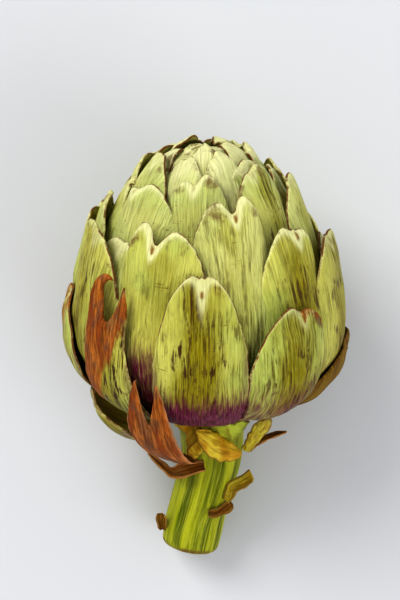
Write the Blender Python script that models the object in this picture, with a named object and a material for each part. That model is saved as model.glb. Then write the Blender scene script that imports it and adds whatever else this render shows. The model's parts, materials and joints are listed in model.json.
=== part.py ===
"""A globe artichoke, lying on its side as it was picked, with a short stem.

The bud is modelled upright in its own frame: its base is at the origin, its axis is +Z and
azimuth 0 faces -Y. The empty bud_axis lays it down, and the empty bud_base holds the base of
the bud above the table. The table is the plane Z = 0, and the bud's tip points to +Y.

Every bract is a thin closed leaf that follows the bud's outline. The rows of bracts nest one
step inside each other, and no two bracts of a row share an azimuth, so none of them meet.
"""
import math
from collections import namedtuple

import bmesh
import bpy
from mathutils import Matrix, Vector

MM = 0.001

# The bud's outline is a radius and a height for each phi, from 0 at the base to 180 degrees
# at the tip.
BUD_HEIGHT = 101 * MM
BUD_RADIUS = 48 * MM
OUTLINE_POWER = 0.65
OUTLINE_TAPER = 0.36
BUD_TILT = math.radians(27)
BUD_BASE = Vector((-0.92, -13.35, 34.9)) * MM

BRACT_THICKNESS = 1.2 * MM
BRACT_CELLS = (6, 7)
EDGE_DROP = 0.4 * MM
SHOULDER = 0.55
ROUNDNESS = 0.42
TIP_POINT = 0.08

# Each row's bracts are rooted one pitch further up the heart and one step further in, and
# come to the surface where the rows outside them end.
ROW_STEP = 2.6 * MM
FIRST_ROW_ROOT = 10
ROW_ROOT_PITCH = 8
FIRST_ROW_END = math.radians(103)
ROW_END_PITCH = math.radians(13)

# The bract that the bud rests on is flat where it meets the table.
REST_BRACT = "bract_row1_5"
REST_CELLS = (12, 14)

CLEARANCE = 0.35 * MM
HEART_TOP = 62
HEART_RINGS = 7
HEART_RIM = 0.93
HEART_HOLLOW = 4 * MM
STEM_SIDES = 20
STEM_RINGS = 13
STEM_ROUND = 1.0 * MM
MERGE = 0.01 * MM

# Azimuth and half width in degrees; in millimetres the height of the tip, how far the tip
# flares and the middle bulges, and how far the root hangs below the outline; how fast it
# comes back to the outline; and the phi of the root, in degrees, where it isn't the row's.
Bract = namedtuple("Bract", "azimuth half_width tip flare bulge hang fall root",
                   defaults=(0, 0, 0, 2, None))

# The bracts below the rows, by name, with their material.
LOW_BRACTS = {
    "low_bract_right": (Bract(84, 24, 24, 0.2, 1.8, 4, 2, 9), "dried_leaf"),
    "low_bract_left": (Bract(284, 22, 7, 0, 0, 17.4, 0.6, 5), "outer_bract"),
    "forked_dried_bract": (Bract(338, 11, 29, 1, 0, 23, 2, 4), "dried_leaf"),
}

# The rows from the outermost in, each clockwise from the side that faces up.
BRACT_ROWS = (
    (Bract(-1, 19, 67, 0.5), Bract(38.5, 19.3, 53, 1), Bract(79, 19.5, 67, 2.5),
     Bract(131, 21, 60, 2), Bract(180, 24, 64, 1), Bract(226, 20, 60, 1.5),
     Bract(274, 22, 45, 0.5, 0.5), Bract(318, 17, 54, 1)),
    (Bract(-21, 22, 78, 1), Bract(49, 20, 75, 1), Bract(92, 20, 62, 1),
     Bract(134, 20, 74, 2), Bract(176, 20, 71, 1), Bract(214, 17, 76, 2),
     Bract(250, 17.5, 70, 2), Bract(296, 19.5, 74, 4.5)),
    (Bract(16, 23, 86, 0.5), Bract(82, 20, 87, 1), Bract(124, 20, 85, 1),
     Bract(166, 20, 87, 1.5), Bract(208, 19, 84, 1), Bract(266, 19, 80, 0.5),
     Bract(309, 20, 73, 0.5)),
    (Bract(-50, 24.5, 91, 0.5), Bract(50, 24, 95, 0.5), Bract(98, 22, 91, 0.5),
     Bract(143, 21, 94, 0.5), Bract(187, 21, 92, 1), Bract(230, 20, 94, 0.5),
     Bract(267, 14, 88)),
    (Bract(-5, 28, 94, 0.5), Bract(54, 25, 97, 0.5), Bract(108, 25, 97, 1),
     Bract(162, 25, 96, 0.5), Bract(216, 25, 97, 1), Bract(294, 26, 95, 0.5)),
    (Bract(-27, 27, 98.8, 0.5), Bract(28, 26, 99.3, 0.5), Bract(83, 27, 99.6, 0.5),
     Bract(140, 28, 99.3, 1), Bract(200, 28, 99.6, 0.5), Bract(280, 25, 99, 0.5)),
    (Bract(0, 44, 100.6), Bract(90, 44, 100.8), Bract(180, 44, 100.6), Bract(270, 44, 100.8)),
)
LAST_OUTER_ROW = 2

# The stem's middle line from its cut end to the bud's base, in millimetres to the right of
# the base, towards the tip and up, and the stem's radius there.
STEM_ROUTE = (
    (-5.0, -63.5, -23.95, 11.3),
    (-3.7, -57.0, -22.3, 11.5),
    (-1.6, -48.0, -19.7, 11.3),
    (1.0, -38.3, -16.2, 11.4),
    (3.3, -27.8, -12.4, 11.8),
    (3.4, -17.6, -8.2, 12.2),
    (2.0, -8.6, -4.2, 12.8),
    (0.0, 0.0, 0.0, 14.0),
)

# A loose leaf of the neck or the stem: its middle line and half width, as the stem's; the
# directions that its inner side faces at its root and at its tip; and how far its sides
# curl to that side, in degrees.
Leaf = namedtuple("Leaf", "material route root_faces tip_faces curl")
LEAF_THICKNESS = 0.9 * MM
LEAF_CELLS = (3, 7)

LOOSE_LEAVES = {
    "folded_neck_leaf": Leaf(
        "neck_leaf",
        ((15.0, -25.7, 2.0, 1.6), (11.1, -23.8, 8.0, 4.0), (6.5, -22.3, 11.0, 4.9),
         (1.7, -19.3, 12.0, 3.8), (-2.8, -16.0, 11.0, 1.5)),
        (0.6, 0.4, 0.7), (0, 0.2, 1), -40),
    "narrow_neck_leaf": Leaf(
        "neck_leaf",
        ((16.8, -24.9, 0.0, 1.4), (19.9, -18.7, 12.0, 2.0), (22.4, -13.5, 25.0, 2.0),
         (24.1, -9.5, 38.5, 0.8)),
        (0.3, 0.9, 0), (0.2, 0.9, -0.3), 30),
    "yellow_neck_leaf": Leaf(
        "neck_leaf",
        ((-1.1, -26.5, 4.5, 1.6), (-3.4, -21.8, 9.0, 3.8), (-5.2, -16.5, 18.0, 4.2),
         (-5.9, -12.3, 26.0, 2.6)),
        (0, 0.6, 1), (0, 1, 0.5), 35),
    "pale_neck_leaf": Leaf(
        "neck_leaf",
        ((10.5, -20.5, 3.0, 3.6), (10.2, -17.0, 9.0, 5.6), (9.6, -13.5, 17.0, 5.6)),
        (-0.2, 0.8, 0.6), (0, 1, 0.3), 30),
    "brown_neck_leaf": Leaf(
        "dried_leaf",
        ((18.6, -24.3, -5.5, 0.7), (22.8, -20.9, 0.0, 0.8), (27.2, -18.7, 4.0, 0.7),
         (31.7, -17.4, 6.0, 0.4)),
        (0, 0.3, 1), (0, 0.3, 1), 20),
    "curled_neck_leaf": Leaf(
        "dried_leaf",
        ((0.6, -31.0, 0.9, 1.6), (-4.2, -31.6, 1.4, 2.2), (-8.6, -33.2, 0.0, 2.2),
         (-12.2, -33.8, -3.0, 1.2), (-16.4, -30.9, -5.0, 0.8), (-20.9, -26.6, -3.0, 0.7)),
        (0, 0.3, 1), (-0.4, 0.3, 1), 45),
    "stem_leaf_right": Leaf(
        "neck_leaf",
        ((9.0, -45.6, -7.9, 1.0), (10.6, -42.4, -6.2, 1.7), (12.1, -39.9, -6.0, 1.9),
         (15.6, -37.8, -5.0, 1.9), (19.0, -35.7, -3.0, 2.3)),
        (-0.4, 0.3, 1), (-0.3, 0.5, 1), 40),
    "stem_leaf_low_right": Leaf(
        "dried_leaf",
        ((2.4, -50.2, -6.9, 0.9), (5.3, -50.4, -7.9, 1.3), (8.7, -48.8, -9.5, 1.6),
         (11.4, -46.6, -11.0, 1.8)),
        (0, 0, 1), (0.5, 0, 1), 30),
    "stem_leaf_left": Leaf(
        "dried_leaf",
        ((-16.0, -58.4, -18.5, 0.7), (-16.2, -56.2, -16.5, 1.1), (-16.4, -53.8, -15.0, 1.4),
         (-16.5, -51.6, -14.0, 1.3)),
        (0, 0.2, 1), (-0.3, 0, 1), 40),
}

MATERIALS = {
    "outer_bract": ((0.36, 0.42, 0.12, 1), 0.5),
    "inner_bract": ((0.45, 0.52, 0.18, 1), 0.45),
    "stem": ((0.33, 0.42, 0.10, 1), 0.5),
    "dried_leaf": ((0.28, 0.13, 0.05, 1), 0.75),
    "neck_leaf": ((0.34, 0.30, 0.08, 1), 0.65),
}


def clear_scene():
    for old in list(bpy.data.objects):
        bpy.data.objects.remove(old, do_unlink=True)


def make_material(name):
    """A material of the object's own, in the colour and gloss of its kind."""
    color, roughness = MATERIALS[name]
    material = bpy.data.materials.new(name)
    material.use_nodes = True
    shader = material.node_tree.nodes["Principled BSDF"]
    shader.inputs["Base Color"].default_value = color
    shader.inputs["Roughness"].default_value = roughness
    shader.inputs["Metallic"].default_value = 0
    return material


def make_empty(name, frame, parent=None):
    empty = bpy.data.objects.new(name, None)
    empty.parent = parent
    empty.matrix_local = frame
    bpy.context.collection.objects.link(empty)
    return empty


def add_object(name, bm, parent, material):
    """Turn a finished bmesh into a named object under its parent."""
    bmesh.ops.recalc_face_normals(bm, faces=bm.faces)
    if bm.calc_volume(signed=True) < 0:
        bmesh.ops.reverse_faces(bm, faces=bm.faces)
    mesh = bpy.data.meshes.new(name)
    bm.to_mesh(mesh)
    bm.free()
    mesh.shade_smooth()
    mesh.materials.append(make_material(material))
    piece = bpy.data.objects.new(name, mesh)
    piece.parent = parent
    bpy.context.collection.objects.link(piece)
    return piece


def press_on_table(bm, frame):
    """Flatten what would reach below the table, in a mesh whose frame stands in the world."""
    back = frame.inverted()
    for vert in bm.verts:
        place = frame @ vert.co
        if place.z < 0:
            place.z = 0
            vert.co = back @ place


def outline(phi):
    """The bud's radius and height at phi."""
    radius = BUD_RADIUS * math.sin(phi) ** OUTLINE_POWER * (1 + OUTLINE_TAPER * math.cos(phi))
    return Vector((radius, BUD_HEIGHT * (1 - math.cos(phi)) / 2))


def phi_at_height(height):
    return math.acos(1 - 2 * height / BUD_HEIGHT)


def profile_point(phi, depth):
    """Radius and height of the point that lies this far outside the outline at phi."""
    step = 0.001
    along = outline(phi + step) - outline(phi - step)
    outward = Vector((along.y, -along.x)).normalized()
    return outline(phi) + outward * depth


def bud_point(phi, azimuth, depth):
    radius, height = profile_point(phi, depth)
    return Vector((radius * math.sin(azimuth), -radius * math.cos(azimuth), height))


def row_depth(row, phi):
    """How far a row's outer side lies from the outline: it rises as the outer rows end."""
    rows_ended = math.log(1 + math.exp((phi - FIRST_ROW_END) / ROW_END_PITCH))
    return ROW_STEP * (rows_ended - row)


def leaf_outline(u, v):
    """Turn a square, -1 to 1 both ways, into a leaf with a rounded tip at v = 1."""
    if v < 0:
        return u, v
    x = u * math.sqrt(1 - ROUNDNESS * v * v)
    y = v * math.sqrt(1 - ROUNDNESS * u * u)
    return x * (1 - TIP_POINT * y * y), y


def bract_point(bract, row, u, v, inner):
    """A point of a bract: u runs across it, v from its root to its tip."""
    x, y = leaf_outline(u, v)
    root_degrees = bract.root if bract.root else FIRST_ROW_ROOT + ROW_ROOT_PITCH * row
    root = math.radians(root_degrees)
    tip = phi_at_height(bract.tip * MM)
    shoulder = root + (tip - root) * SHOULDER
    phi = shoulder + (tip - shoulder) * y if y > 0 else shoulder + (shoulder - root) * y
    along = (phi - root) / (tip - root)
    lift = bract.flare * max(y, 0) ** 2
    lift += bract.bulge * math.sin(math.pi * along)
    lift += bract.hang * (1 - along) ** bract.fall
    depth = row_depth(row, phi) + lift * MM
    depth -= EDGE_DROP * x * x * along + BRACT_THICKNESS * inner
    return bud_point(phi, math.radians(bract.azimuth + bract.half_width * x), depth)


def leaf_slab(cells):
    """A square slab of one layer: z = 0 is its outer side and z = -1 its inner side."""
    bm = bmesh.new()
    bmesh.ops.create_grid(bm, x_segments=cells[0], y_segments=cells[1], size=1)
    slab = bmesh.ops.extrude_face_region(bm, geom=bm.faces[:])
    inner = [item for item in slab["geom"] if isinstance(item, bmesh.types.BMVert)]
    bmesh.ops.translate(bm, verts=inner, vec=(0, 0, -1))
    return bm


def make_bract(name, bract, row, material, parent):
    resting = name == REST_BRACT
    bm = leaf_slab(REST_CELLS if resting else BRACT_CELLS)
    for vert in bm.verts:
        vert.co = bract_point(bract, row, vert.co.x, vert.co.y, -vert.co.z)
    if resting:
        press_on_table(bm, BUD_FRAME)
    return add_object(name, bm, parent, material)


def curve_point(points, t):
    """A smooth curve through the points, as a vector of all their values; t runs 0 to 1."""
    spans = len(points) - 1
    span = min(int(t * spans), spans - 1)
    f = t * spans - span
    before, start, end, after = (
        Vector(points[min(max(span + k, 0), spans)]) for k in (-1, 0, 1, 2))
    slope_in = (end - before) / 2
    slope_out = (after - start) / 2
    return (start * (2 * f**3 - 3 * f**2 + 1) + slope_in * (f**3 - 2 * f**2 + f)
            + end * (3 * f**2 - 2 * f**3) + slope_out * (f**3 - f**2))


def curve_direction(points, t):
    step = 0.01
    ahead = curve_point(points, min(t + step, 1)) - curve_point(points, max(t - step, 0))
    return ahead.to_3d().normalized()


def leaf_point(leaf, u, v, outer):
    """A point of a loose leaf: u runs across it, v from its root to its tip."""
    t = (v + 1) / 2
    centre = curve_point(leaf.route, t)
    half_width = centre[3]
    along = curve_direction(leaf.route, t)
    faces = Vector(leaf.root_faces).lerp(Vector(leaf.tip_faces), t)
    side = along.cross(faces).normalized()
    inward = side.cross(along)
    curl = math.radians(leaf.curl)
    turn = u * curl
    bend = half_width / curl
    offset = side * bend * math.sin(turn) + inward * bend * (1 - math.cos(turn))
    outward = side * math.sin(turn) - inward * math.cos(turn)
    return (centre.to_3d() + offset) * MM + outward * outer * LEAF_THICKNESS


def make_loose_leaf(name, leaf, parent):
    bm = leaf_slab(LEAF_CELLS)
    for vert in bm.verts:
        vert.co = leaf_point(leaf, vert.co.x, vert.co.y, -vert.co.z)
    return add_object(name, bm, parent, leaf.material)


def stem_ring(centre, along, radius):
    """A ring across the stem: its centre, and its radius to the right and to the top."""
    across = Vector((1, 0, 0)) - along * along.x
    across.normalize()
    return centre, across * radius, across.cross(along) * radius


def stem_rings():
    """The rings from the rounded cut end of the stem to the base of the bud."""
    end = curve_point(STEM_ROUTE, 0)
    along = curve_direction(STEM_ROUTE, 0)
    rings = [stem_ring(end.to_3d() * MM - along * STEM_ROUND, along, end[3] * MM - STEM_ROUND)]
    for index in range(STEM_RINGS):
        t = index / STEM_RINGS
        place = curve_point(STEM_ROUTE, t)
        rings.append(stem_ring(place.to_3d() * MM, curve_direction(STEM_ROUTE, t), place[3] * MM))
    return rings


def heart_rings():
    """The rings of the heart, just inside the roots of the bracts, and of its hollow top."""
    first, last = FIRST_ROW_ROOT, HEART_TOP
    profile = []
    for index in range(HEART_RINGS):
        degrees = first + (last - first) * index / (HEART_RINGS - 1)
        rows_rooted = (degrees - first) / ROW_ROOT_PITCH
        depth = -(BRACT_THICKNESS + CLEARANCE + ROW_STEP * rows_rooted)
        profile.append(profile_point(math.radians(degrees), depth))
    rim_radius, rim_height = profile[-1]
    profile.append(Vector((rim_radius * HEART_RIM, rim_height)))
    profile.append(Vector((rim_radius / 2, rim_height - HEART_HOLLOW)))
    turn = Matrix.Rotation(BUD_TILT, 3, "X")
    right, up, axis = turn @ Vector((1, 0, 0)), turn @ Vector((0, 0, 1)), turn @ Vector((0, 1, 0))
    return [(axis * height, right * radius, up * radius) for radius, height in profile]


def make_stem_and_heart(parent):
    """One piece: the stem swells into the heart, which carries every bract."""
    rings = stem_rings() + heart_rings()
    bm = bmesh.new()
    bmesh.ops.create_grid(bm, x_segments=STEM_SIDES, y_segments=len(rings) - 1, size=1)
    for vert in bm.verts:
        turn = math.pi * vert.co.x
        centre, right, top = rings[round((vert.co.y + 1) / 2 * (len(rings) - 1))]
        vert.co = centre + right * math.sin(turn) + top * math.cos(turn)
    bmesh.ops.remove_doubles(bm, verts=bm.verts, dist=MERGE)
    bmesh.ops.holes_fill(bm, edges=bm.edges, sides=0)
    press_on_table(bm, BASE_FRAME)
    return add_object("stem_and_heart", bm, parent, "stem")


BASE_FRAME = Matrix.Translation(BUD_BASE)
LAY_DOWN = Matrix.Rotation(BUD_TILT - math.pi / 2, 4, "X")
BUD_FRAME = BASE_FRAME @ LAY_DOWN


def make_artichoke():
    bud_base = make_empty("bud_base", BASE_FRAME)
    bud_axis = make_empty("bud_axis", LAY_DOWN, bud_base)
    make_stem_and_heart(bud_base)
    for row, bracts in enumerate(BRACT_ROWS):
        material = "outer_bract" if row < LAST_OUTER_ROW else "inner_bract"
        for index, bract in enumerate(bracts, start=1):
            make_bract(f"bract_row{row + 1}_{index}", bract, row, material, bud_axis)
    for name, (bract, material) in LOW_BRACTS.items():
        make_bract(name, bract, -1, material, bud_axis)
    for name, leaf in LOOSE_LEAVES.items():
        make_loose_leaf(name, leaf, bud_base)


clear_scene()
make_artichoke()
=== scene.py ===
# %% [markdown]
# # A globe artichoke, lying on its side
#
# An artichoke is a flower bud. A thick stem swells into a fleshy heart, and overlapping scales,
# which botanists call bracts, grow from the heart in rows and close over it. This lesson makes
# every bract as its own thin mesh, then the stem, the dry scraps of leaf round the neck, and one
# procedural finish for each kind of surface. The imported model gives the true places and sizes.

import json
import math
from collections import namedtuple
from types import SimpleNamespace

import bmesh
import bpy
import numpy as np
from mathutils import Matrix, Vector


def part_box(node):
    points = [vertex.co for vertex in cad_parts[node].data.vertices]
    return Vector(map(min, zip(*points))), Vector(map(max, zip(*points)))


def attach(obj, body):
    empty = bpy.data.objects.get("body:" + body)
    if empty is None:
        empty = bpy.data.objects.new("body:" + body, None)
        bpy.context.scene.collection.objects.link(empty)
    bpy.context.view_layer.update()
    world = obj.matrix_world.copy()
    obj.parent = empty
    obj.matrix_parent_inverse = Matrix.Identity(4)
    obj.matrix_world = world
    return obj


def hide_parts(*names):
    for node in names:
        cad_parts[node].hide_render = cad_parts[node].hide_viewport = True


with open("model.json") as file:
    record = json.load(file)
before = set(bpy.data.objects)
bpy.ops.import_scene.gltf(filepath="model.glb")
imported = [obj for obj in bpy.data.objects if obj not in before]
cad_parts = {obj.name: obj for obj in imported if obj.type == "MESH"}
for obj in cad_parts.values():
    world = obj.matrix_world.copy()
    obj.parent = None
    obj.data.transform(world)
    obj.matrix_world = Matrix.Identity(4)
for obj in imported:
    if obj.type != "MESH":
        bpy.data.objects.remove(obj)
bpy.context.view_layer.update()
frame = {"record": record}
MM = 0.001

# %% [markdown]
# ## Where the bud lies
#
# The bud rests on a small flat spot of one bract, and the record of the model says where that
# spot is. The base of the bud, where the stem meets it, is a known step away from there. The bud
# is shaped upright, as a potter would turn it, and one matrix then lays it down on the table, with
# its tip 27 degrees higher than its base.

# %% The upright bud's frame
FROM_SPOT_TO_BASE = Vector((0, -36.96, 34.9)) * MM
BUD_BASE = Vector(frame["record"]["mounts"][0]["pos_m"]) + FROM_SPOT_TO_BASE
BUD_TILT = math.radians(27)
BUD_FRAME = Matrix.Translation(BUD_BASE) @ Matrix.Rotation(BUD_TILT - math.pi / 2, 4, "X")
print("base of the bud:", [round(value / MM, 1) for value in BUD_BASE])

# %% [markdown]
# ## The camera and the table
#
# The camera hangs straight above the artichoke and looks down, as for a picture of food on a
# table. A long lens from a good distance keeps the proportions natural. The table is only a
# plain pale plane that catches a soft shadow.

# %% Camera straight above
CAMERA_HEIGHT = 650 * MM
FROM_BASE_TO_VIEW = Vector((-1.1, 32.8, 0)) * MM
camera_data = bpy.data.cameras.new("top camera")
camera_data.lens = 95.8
camera_data.sensor_width = 36
camera = bpy.data.objects.new("top camera", camera_data)
camera.location = BUD_BASE + FROM_BASE_TO_VIEW
camera.location.z = CAMERA_HEIGHT
bpy.context.scene.collection.objects.link(camera)
bpy.context.scene.camera = camera
print("camera height in mm:", round(camera.location.z / MM))

# %% [markdown]
# ## Light
#
# Daylight from a window is a big soft source on one side, with the rest of the room as fill.
# One large area light at the upper left is the window, a weaker one opposite opens the shadows,
# and a pale world gives the even light between them. Big sources also keep the gloss on the
# bracts soft. The high contrast look deepens the gaps between the bracts.

# %% A window and its fill
LIGHT_SIZE = 1.2
LIT_SPOT = Vector((0, 0, 0.04))


def add_area_light(name, place, power, color):
    data = bpy.data.lights.new(name, "AREA")
    data.size = LIGHT_SIZE
    data.energy = power
    data.color = color
    light = bpy.data.objects.new(name, data)
    light.location = place
    aim = LIT_SPOT - light.location
    light.rotation_euler = aim.to_track_quat("-Z", "Y").to_euler()
    bpy.context.scene.collection.objects.link(light)


add_area_light("window", Vector((-1.3, 1.3, 1.8)), 29, (1, 0.99, 0.96))
add_area_light("fill", Vector((1.2, -0.9, 1.1)), 8, (1, 1, 1))
world = bpy.data.worlds.new("room")
world.use_nodes = True
background = world.node_tree.nodes["Background"]
background.inputs["Color"].default_value = (0.97, 0.98, 1, 1)
background.inputs["Strength"].default_value = 0.55
bpy.context.scene.world = world
bpy.context.scene.view_settings.view_transform = "Standard"
bpy.context.scene.view_settings.look = "High Contrast"
print("lights:", [light.name for light in bpy.data.lights])

# %% [markdown]
# ## The bud's outline
#
# Turned round its axis, the bud is egg-shaped: fullest a third of the way up and closed at the
# tip. One angle, phi, runs along that outline from 0 at the base to 180 degrees at the tip, and
# gives a radius and a height. A point of a bract is then its phi, its azimuth round the axis and
# its height over the outline. Working with whole arrays in NumPy moves thousands of vertices at
# once.

# %% Radius and height along the outline
BUD_HEIGHT = 101 * MM
BUD_RADIUS = 48 * MM
OUTLINE_POWER = 0.65
OUTLINE_TAPER = 0.36


def outline(phi):
    radius = BUD_RADIUS * np.sin(phi) ** OUTLINE_POWER * (1 + OUTLINE_TAPER * np.cos(phi))
    return radius, BUD_HEIGHT * (1 - np.cos(phi)) / 2


def phi_at_height(height):
    return math.acos(1 - 2 * height / BUD_HEIGHT)


def profile_point(phi, depth):
    """Radius and height of points this far outside the outline, or inside it if negative."""
    step = 0.001
    radius_before, height_before = outline(phi - step)
    radius_after, height_after = outline(phi + step)
    run, rise = radius_after - radius_before, height_after - height_before
    length = np.hypot(run, rise)
    radius, height = outline(phi)
    return radius + rise / length * depth, height - run / length * depth


def bud_points(phi, azimuth, depth):
    """Places on the lying bud, one row of x, y and z for each point."""
    radius, height = profile_point(phi, depth)
    upright = np.column_stack((radius * np.sin(azimuth), -radius * np.cos(azimuth), height))
    turn, shift = np.array(BUD_FRAME.to_3x3()), np.array(BUD_FRAME.translation)
    return upright @ turn.T + shift


PHIS = np.linspace(0.002, math.pi - 0.002, 600)
PATH = np.column_stack(outline(PHIS)) / MM
ARCS = np.concatenate(([0], np.cumsum(np.hypot(*np.diff(PATH, axis=0).T))))
print("length of the outline from base to tip in mm:", round(ARCS[-1]))

# %% [markdown]
# ## The plan of the bracts
#
# Each bract is planned by the direction it grows in and its half width, both in degrees round the
# axis, the height of its tip in millimetres, and how far that tip flares away from the bud. The
# lowest ones also bulge or hang at their foot. The rows nest one step inside each other, and each
# row comes up to the surface where the rows outside it end. This is the same plan as the packed
# model's, so every detailed bract lands where its simple twin is.

# %% Bracts by row
Bract = namedtuple("Bract", "azimuth half_width tip flare bulge hang fall root",
                   defaults=(0, 0, 0, 2, None))
LOW_BRACTS = {
    "low_bract_right": Bract(84, 24, 24, 0.2, 1.8, 4, 2, 9),
    "low_bract_left": Bract(284, 22, 7, 0, 0, 17.4, 0.6, 5),
    "forked_dried_bract": Bract(338, 11, 29, 1, 0, 23, 2, 4),
}
BRACT_ROWS = (
    (Bract(-1, 19, 67, 0.5), Bract(38.5, 19.3, 53, 1), Bract(79, 19.5, 67, 2.5),
     Bract(131, 21, 60, 2), Bract(180, 24, 64, 1), Bract(226, 20, 60, 1.5),
     Bract(274, 22, 45, 0.5, 0.5), Bract(318, 17, 54, 1)),
    (Bract(-21, 22, 78, 1), Bract(49, 20, 75, 1), Bract(92, 20, 62, 1),
     Bract(134, 20, 74, 2), Bract(176, 20, 71, 1), Bract(214, 17, 76, 2),
     Bract(250, 17.5, 70, 2), Bract(296, 19.5, 74, 4.5)),
    (Bract(16, 23, 86, 0.5), Bract(82, 20, 87, 1), Bract(124, 20, 85, 1),
     Bract(166, 20, 87, 1.5), Bract(208, 19, 84, 1), Bract(266, 19, 80, 0.5),
     Bract(309, 20, 73, 0.5)),
    (Bract(-50, 24.5, 91, 0.5), Bract(50, 24, 95, 0.5), Bract(98, 22, 91, 0.5),
     Bract(143, 21, 94, 0.5), Bract(187, 21, 92, 1), Bract(230, 20, 94, 0.5),
     Bract(267, 14, 88)),
    (Bract(-5, 28, 94, 0.5), Bract(54, 25, 97, 0.5), Bract(108, 25, 97, 1),
     Bract(162, 25, 96, 0.5), Bract(216, 25, 97, 1), Bract(294, 26, 95, 0.5)),
    (Bract(-27, 27, 98.8, 0.5), Bract(28, 26, 99.3, 0.5), Bract(83, 27, 99.6, 0.5),
     Bract(140, 28, 99.3, 1), Bract(200, 28, 99.6, 0.5), Bract(280, 25, 99, 0.5)),
    (Bract(0, 44, 100.6), Bract(90, 44, 100.8), Bract(180, 44, 100.6), Bract(270, 44, 100.8)),
)
LAST_OUTER_ROW, FIRST_CLOSED_ROW, CROWN_ROW, TOP_ROW = 2, 3, 4, 6
ROW_STEP = 3.1 * MM
FIRST_ROW_ROOT, ROW_ROOT_PITCH = 10, 8
FIRST_ROW_END, ROW_END_PITCH = math.radians(103), math.radians(13)
SHOULDER = 0.55


def row_depth(row, phi):
    """How far a row's outer side lies from the outline: it rises as the outer rows end."""
    rows_ended = np.log(1 + np.exp((phi - FIRST_ROW_END) / ROW_END_PITCH))
    return ROW_STEP * (rows_ended - row)


print("bracts in each row:", [len(row) for row in BRACT_ROWS])

# %% [markdown]
# ## What makes each bract its own
#
# No two bracts of a real artichoke are alike. The tip is notched between two rounded lobes, with
# a short pale ridge and a little thorn below the notch. One lobe is often taller, rolls out or
# has dried to a flap, and an old bract splits into two prongs. The skin has olive and brown
# streaks, cream edges, brown smudges on the lobes and, low down, purple. A look lists how strong
# each of these is. The bracts in front get their own values, and the rest take theirs from a
# seeded random choice, so the result is the same on every run.

# %% The fields of a look
LOOK_DEFAULTS = dict(
    # The outline: notch, lean and reach are in millimetres, notch_at and gap are shares of the
    # half width, skew makes the notch lopsided, and narrow makes the top narrower.
    taper=0.1, notch=3, notch_at=0, gap=0.26, skew=0, lean=0, reach=0, narrow=-0.25,
    # A forked tip: how rounded its prongs are, how far the right one leans, how many degrees the
    # left one bends over, and how much the foot widens.
    fork=0, splay=0, hook=0, foot=0,
    # The relief in millimetres, and how far below the rim the thorn lies and the ridge reaches.
    groove=1.0, roll_left=0, roll_right=0, arch=2.4, wave=0.3, tuck=0, tilt=0.5, thorn_at=2.6,
    ridge=8,
    # The strength of each mark on the skin.
    stain=0.5, scorch_left=0.3, scorch_right=0.3, flap=0, purple=0, dry=0, margin=0.2, tone=0.5,
    cream=0.6, thorn=1.2)
Look = namedtuple("Look", LOOK_DEFAULTS, defaults=LOOK_DEFAULTS.values())
print("fields of a look:", len(Look._fields))

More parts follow.
